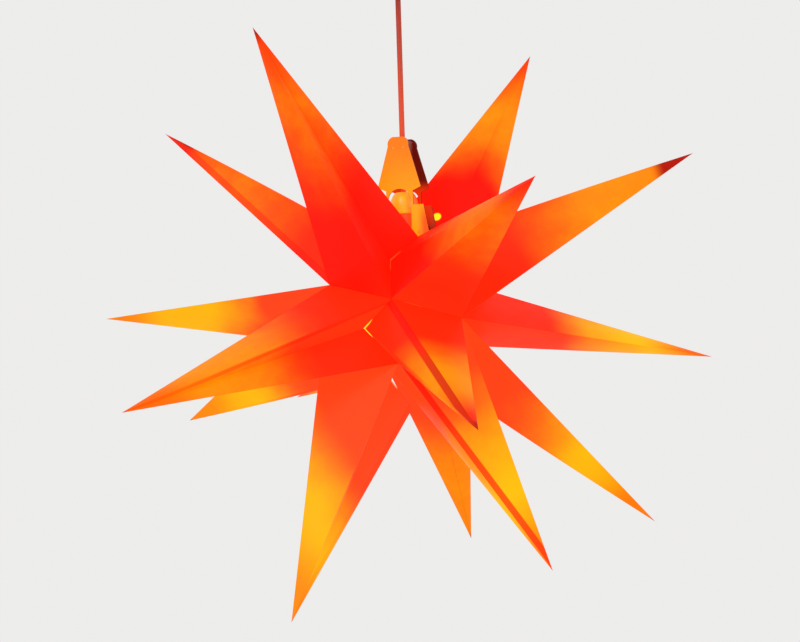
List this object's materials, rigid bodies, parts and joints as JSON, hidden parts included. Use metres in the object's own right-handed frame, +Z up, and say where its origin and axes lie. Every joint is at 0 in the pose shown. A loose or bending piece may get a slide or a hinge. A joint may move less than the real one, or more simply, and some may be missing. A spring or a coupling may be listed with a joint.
{
  "type": "star pendant light",
  "caption": "Folding star pendant light of hollow tinted film spikes around a small lamp, hung from a notched two-plate hanger, a round cord and a ceiling cup.",
  "frame": {"origin": "centre of the fixing plate's face against the ceiling", "axes": "+Z up into the ceiling, -Y towards the viewer, +X to the viewer's right"},
  "size_m": [0.577, 0.5599, 0.6012],
  "materials": {
    "film_orange": "tinted translucent film, satin, lit from inside",
    "film_amber": "tinted translucent film, satin, red at the base, amber outwards",
    "hanger_plastic": "translucent moulded plastic",
    "steel": "zinc plated",
    "cord_sheath": "round sheathed cord",
    "core_insulation": "insulated core",
    "holder_plastic": "moulded lampholder shell",
    "fitting_plastic": "heat-proof moulding",
    "brass": "plain brass",
    "lamp_cap": "rolled screw cap",
    "lamp_insulator": "black glass insulator",
    "lamp_collar": "white collar",
    "lamp_glass": "clear glass",
    "lamp_filament": "phosphor-coated filament",
    "ceiling_white": "white moulded plastic"
  },
  "bodies": {
    "ceiling": {"canopy_cup": "ceiling_white", "canopy_collar": "ceiling_white", "collar_screw": "steel", "ceiling_plate": "steel", "cord_clamp": "fitting_plastic", "clamp_screws": "steel", "terminal_block": "fitting_plastic", "terminal_screws": "brass", "cord_in_canopy": "cord_sheath", "canopy_cores": "core_insulation"},
    "cord": {"cord": "cord_sheath"},
    "star": {"hanger_plate_front": "hanger_plastic", "hanger_plate_back": "hanger_plastic", "hanger_block": "hanger_plastic", "hanger_saddles": "hanger_plastic", "hanger_pins": "steel", "hanger_grip_screw": "steel", "cord_in_hanger": "cord_sheath", "holder_cap": "holder_plastic", "holder_body": "holder_plastic", "holder_insert": "fitting_plastic", "holder_thread": "brass", "holder_contact": "brass", "holder_screws": "brass", "holder_cores": "core_insulation", "closing_tabs": "film_orange", "spike_a_upper": "film_orange", "spike_a_middle": "film_amber", "spike_a_lower": "film_amber", "spike_c_upper": "film_orange", "spike_c_middle": "film_amber", "spike_c_lower": "film_amber", "spike_d_upper": "film_orange", "spike_d_middle": "film_amber", "spike_d_lower": "film_amber", "spike_e_upper": "film_orange", "spike_e_middle": "film_amber", "spike_e_lower": "film_amber", "spike_f_upper": "film_orange", "spike_f_middle": "film_amber", "spike_f_lower": "film_amber"},
    "gore_b": {"spike_b_upper": "film_orange", "spike_b_middle": "film_amber", "spike_b_lower": "film_amber"},
    "bulb": {"bulb_cap": "lamp_cap", "bulb_insulator": "lamp_insulator", "bulb_contact": "lamp_cap", "bulb_collar": "lamp_collar", "bulb_glass": "lamp_glass", "bulb_stem": "lamp_glass", "bulb_filaments": "lamp_filament"}
  },
  "joints": [
    {"name": "cord_swing", "type": "hinge", "parent": "ceiling", "child": "cord", "pos_m": [0, 0, -0.039], "axis": [0, 1, 0], "range_deg": [-12, 12]},
    {"name": "star_turn", "type": "hinge", "parent": "cord", "child": "star", "pos_m": [0, 0, -0.18], "axis": [0, 0, 1], "range_deg": [-180, 180]},
    {"name": "gore_b_open", "type": "hinge", "parent": "star", "child": "gore_b", "pos_m": [0.0486, -0.0486, -0.352], "axis": [0, 0, 1], "range_deg": [0, 18]},
    {"name": "bulb_turn", "type": "hinge", "parent": "star", "child": "bulb", "pos_m": [0, 0, -0.2895], "axis": [0, 0, -1], "range_deg": [0, 1080]}
  ]
}
